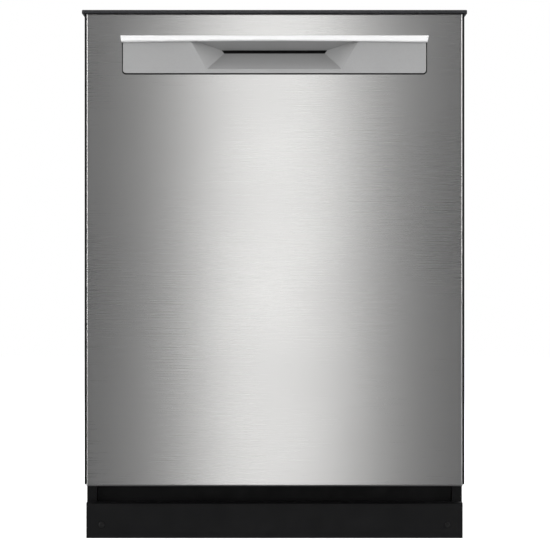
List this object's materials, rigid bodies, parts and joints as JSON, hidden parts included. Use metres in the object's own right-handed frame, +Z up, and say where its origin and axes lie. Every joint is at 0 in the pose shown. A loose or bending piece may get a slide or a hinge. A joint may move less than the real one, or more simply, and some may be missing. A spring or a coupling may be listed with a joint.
{
  "type": "built-in dishwasher",
  "caption": "Front-loading built-in dishwasher: drop-down door with pocket handle, top-edge controls, wire racks, spray arms, sump, pumps and levelling legs.",
  "frame": {"origin": "on the floor, at the middle of the machine's bounding box", "axes": "+Z up, the door faces -Y, +X to the right seen from the front"},
  "size_m": [0.616, 0.636, 0.851],
  "materials": {
    "stainless_skin": "fine horizontal brushing",
    "grip_metal": "satin, bright",
    "silver_paint": "flat silver grey",
    "black_plastic": "satin moulded",
    "cap_black": "semi gloss",
    "button_black": "gloss",
    "board_green": "solder mask",
    "tub_steel": "2B rolled",
    "felt": "bitumen felt",
    "white_wool": "fibre mat",
    "grey_plastic": "moulded",
    "light_plastic": "moulded",
    "rack_coat": "nylon coated wire",
    "seal_rubber": "matt",
    "zinc_steel": "zinc plated",
    "frame_steel": "galvanised",
    "spring_steel": "oiled wire",
    "screw_black": "black oxide",
    "motor": "black lacquer",
    "heater_tube": "nickel alloy tube",
    "valve_white": "moulded"
  },
  "bodies": {
    "cabinet": {"access_panel": "black_plastic", "base_frame": "frame_steel", "door_seals": "seal_rubber", "door_springs": "spring_steel", "drain_pump": "motor", "feed_tube": "grey_plastic", "filter_screen": "tub_steel", "heater_element": "heater_tube", "hinge_brackets": "zinc_steel", "inlet_valve": "valve_white", "insulation_blanket": "felt", "junction_box": "zinc_steel", "kick_screws": "screw_black", "mounting_brackets": "zinc_steel", "rail_guides": "light_plastic", "strike_plate": "zinc_steel", "sump_housing": "grey_plastic", "toe_kick": "black_plastic", "tub_back": "tub_steel", "tub_floor": "tub_steel", "tub_wrapper": "tub_steel", "wash_pump": "motor"},
    "door": {"door_outer_panel": "stainless_skin", "door_frame": "black_plastic", "door_inner_liner": "tub_steel", "door_insulation": "white_wool", "handle_insert": "silver_paint", "handle_bracket": "black_plastic", "handle_grip_strip": "grip_metal", "console_housing": "cap_black", "control_board": "board_green", "latch_housing": "grey_plastic", "dispenser_housing": "light_plastic", "hinge_arms": "zinc_steel"},
    "upper_rack": {"upper_rack": "rack_coat", "upper_arm_manifold": "grey_plastic"},
    "lower_rack": {"lower_rack": "rack_coat"},
    "latch_pawl": {"latch_pawl": "grey_plastic"},
    "detergent_lid": {"detergent_lid": "grey_plastic"},
    "rinse_aid_cap": {"rinse_aid_cap": "grey_plastic"},
    "power_button": {"power_button": "button_black"},
    "cycle_button": {"cycle_button": "button_black"},
    "start_button": {"start_button": "button_black"},
    "leg_front_left": {"leg_front_left": "zinc_steel"},
    "leg_front_right": {"leg_front_right": "zinc_steel"},
    "leg_rear_left": {"leg_rear_left": "zinc_steel"},
    "leg_rear_right": {"leg_rear_right": "zinc_steel"},
    "filter_cup": {"filter_cup": "grey_plastic"},
    "lower_spray_arm": {"lower_spray_arm": "light_plastic"},
    "top_spray_arm": {"top_spray_arm": "light_plastic"},
    "float": {"float": "light_plastic"},
    "rack_rails": {"rack_rails": "tub_steel"},
    "upper_spray_arm": {"upper_spray_arm": "light_plastic"},
    "upper_wheels_front": {"upper_wheels_front": "light_plastic"},
    "upper_wheels_rear": {"upper_wheels_rear": "light_plastic"},
    "cup_shelf": {"cup_shelf": "light_plastic"},
    "silverware_basket": {"silverware_basket": "light_plastic"},
    "lower_wheels_front": {"lower_wheels_front": "light_plastic"},
    "lower_wheels_rear": {"lower_wheels_rear": "light_plastic"},
    "fold_tines": {"fold_tines": "rack_coat"}
  },
  "joints": [
    {"name": "door_hinge", "type": "hinge", "parent": "cabinet", "child": "door", "pos_m": [0, -0.266, 0.124], "axis": [1, 0, 0], "range_deg": [0, 90], "stiffness_Nm_per_rad": 20},
    {"name": "latch_press", "type": "slide", "parent": "door", "child": "latch_pawl", "axis": [0, 0, -1], "range_m": [0, 0.004], "stiffness_N_per_m": 400},
    {"name": "detergent_lid_slide", "type": "slide", "parent": "door", "child": "detergent_lid", "axis": [1, 0, 0], "range_m": [0, 0.058]},
    {"name": "rinse_cap_turn", "type": "hinge", "parent": "door", "child": "rinse_aid_cap", "pos_m": [0.066, -0.255, 0.5], "axis": [0, 1, 0], "range_deg": [0, 90]},
    {"name": "power_button_press", "type": "slide", "parent": "door", "child": "power_button", "axis": [0, 0, -1], "range_m": [0, 0.0012], "stiffness_N_per_m": 800},
    {"name": "cycle_button_press", "type": "slide", "parent": "door", "child": "cycle_button", "axis": [0, 0, -1], "range_m": [0, 0.0012], "stiffness_N_per_m": 800},
    {"name": "start_button_press", "type": "slide", "parent": "door", "child": "start_button", "axis": [0, 0, -1], "range_m": [0, 0.0012], "stiffness_N_per_m": 800},
    {"name": "leg_front_left_screw", "type": "slide", "parent": "cabinet", "child": "leg_front_left", "axis": [0, 0, -1], "range_m": [0, 0.03]},
    {"name": "leg_front_right_screw", "type": "slide", "parent": "cabinet", "child": "leg_front_right", "axis": [0, 0, -1], "range_m": [0, 0.03]},
    {"name": "leg_rear_left_screw", "type": "slide", "parent": "cabinet", "child": "leg_rear_left", "axis": [0, 0, -1], "range_m": [0, 0.03]},
    {"name": "leg_rear_right_screw", "type": "slide", "parent": "cabinet", "child": "leg_rear_right", "axis": [0, 0, -1], "range_m": [0, 0.03]},
    {"name": "filter_cup_turn", "type": "hinge", "parent": "cabinet", "child": "filter_cup", "pos_m": [0, 0.12, 0.12], "axis": [0, 0, 1], "range_deg": [0, 90]},
    {"name": "lower_spray_spin", "type": "hinge", "parent": "cabinet", "child": "lower_spray_arm", "pos_m": [0, 0.01, 0.165], "axis": [0, 0, 1], "continuous": true},
    {"name": "top_spray_spin", "type": "hinge", "parent": "cabinet", "child": "top_spray_arm", "pos_m": [0, 0.01, 0.76], "axis": [0, 0, 1], "continuous": true},
    {"name": "float_lift", "type": "slide", "parent": "cabinet", "child": "float", "axis": [0, 0, 1], "range_m": [0, 0.012]},
    {"name": "upper_rack_slide", "type": "slide", "parent": "cabinet", "child": "upper_rack", "axis": [0, -1, 0], "range_m": [0, 0.46]},
    {"name": "rack_rails_slide", "type": "slide", "parent": "cabinet", "child": "rack_rails", "axis": [0, -1, 0], "range_m": [0, 0.38]},
    {"name": "upper_spray_spin", "type": "hinge", "parent": "upper_rack", "child": "upper_spray_arm", "pos_m": [0, 0.01, 0.415], "axis": [0, 0, 1], "continuous": true},
    {"name": "upper_front_wheels_roll", "type": "hinge", "parent": "upper_rack", "child": "upper_wheels_front", "pos_m": [0, -0.14, 0.56], "axis": [1, 0, 0], "continuous": true},
    {"name": "upper_rear_wheels_roll", "type": "hinge", "parent": "upper_rack", "child": "upper_wheels_rear", "pos_m": [0, 0.12, 0.56], "axis": [1, 0, 0], "continuous": true},
    {"name": "cup_shelf_fold", "type": "hinge", "parent": "upper_rack", "child": "cup_shelf", "pos_m": [-0.243, 0, 0.534], "axis": [0, -1, 0], "range_deg": [0, 85]},
    {"name": "lower_rack_slide", "type": "slide", "parent": "cabinet", "child": "lower_rack", "axis": [0, -1, 0], "range_m": [0, 0.145]},
    {"name": "lower_front_wheels_roll", "type": "hinge", "parent": "lower_rack", "child": "lower_wheels_front", "pos_m": [0, -0.14, 0.1673], "axis": [1, 0, 0], "continuous": true},
    {"name": "lower_rear_wheels_roll", "type": "hinge", "parent": "lower_rack", "child": "lower_wheels_rear", "pos_m": [0, 0.19, 0.1673], "axis": [1, 0, 0], "continuous": true},
    {"name": "silverware_basket_lift", "type": "slide", "parent": "lower_rack", "child": "silverware_basket", "axis": [0, 0, 1], "range_m": [0, 0.085]},
    {"name": "fold_tines_fold", "type": "hinge", "parent": "lower_rack", "child": "fold_tines", "pos_m": [0, -0.06, 0.1918], "axis": [-1, 0, 0], "range_deg": [0, 80]}
  ],
  "couplings": [
    {"joint": "upper_rack_slide", "follows": "door_hinge", "m_per_rad": 0.2865},
    {"joint": "rack_rails_slide", "follows": "door_hinge", "m_per_rad": 0.2355},
    {"joint": "lower_rack_slide", "follows": "door_hinge", "m_per_rad": 0.09}
  ]
}
